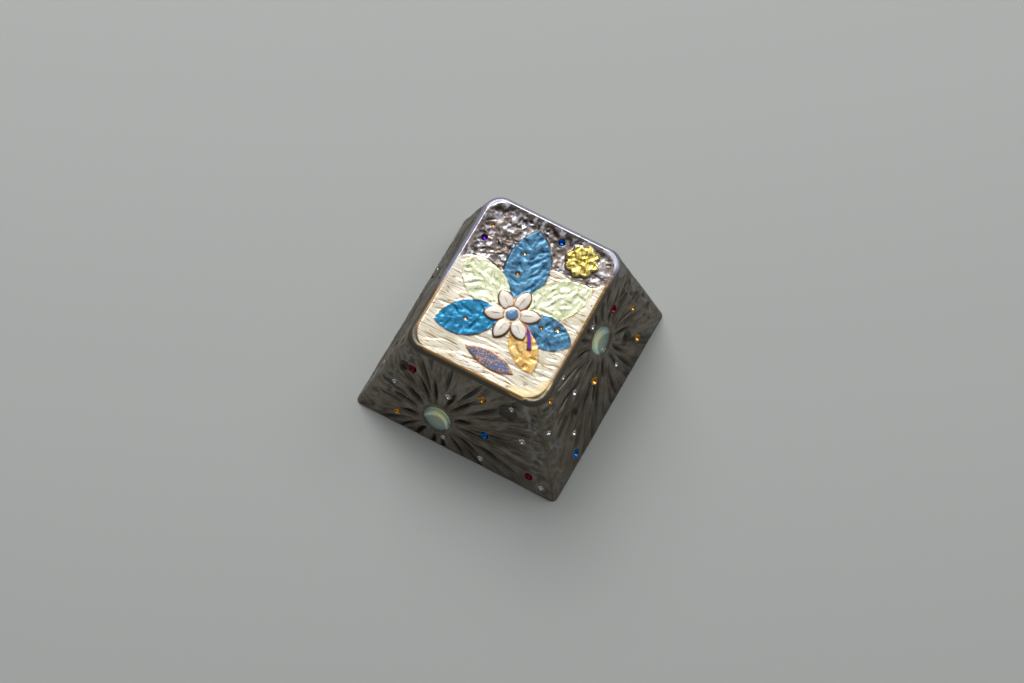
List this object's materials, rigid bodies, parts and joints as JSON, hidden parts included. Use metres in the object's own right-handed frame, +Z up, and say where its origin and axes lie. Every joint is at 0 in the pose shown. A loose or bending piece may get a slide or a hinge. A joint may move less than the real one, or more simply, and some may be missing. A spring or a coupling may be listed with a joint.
{
  "type": "keycap",
  "caption": "Sculpted metal keycap with fluted, cratered sides, a carved coloured face and a plastic cross-socket stem.",
  "frame": {"origin": "middle of the skirt's bottom edge, where the keycap rests", "axes": "+Z up through the face, -Y towards the typist, +X to the typist's right"},
  "size_m": [0.0182, 0.0182, 0.0086],
  "materials": {
    "dark_metal": "black-brown skin on carved titanium, satin, with bright and coloured cuts",
    "stem_plastic": "moulded acetal, fine matt"
  },
  "bodies": {
    "root": {"cap_body": "dark_metal", "stem_socket": "stem_plastic"}
  },
  "joints": []
}
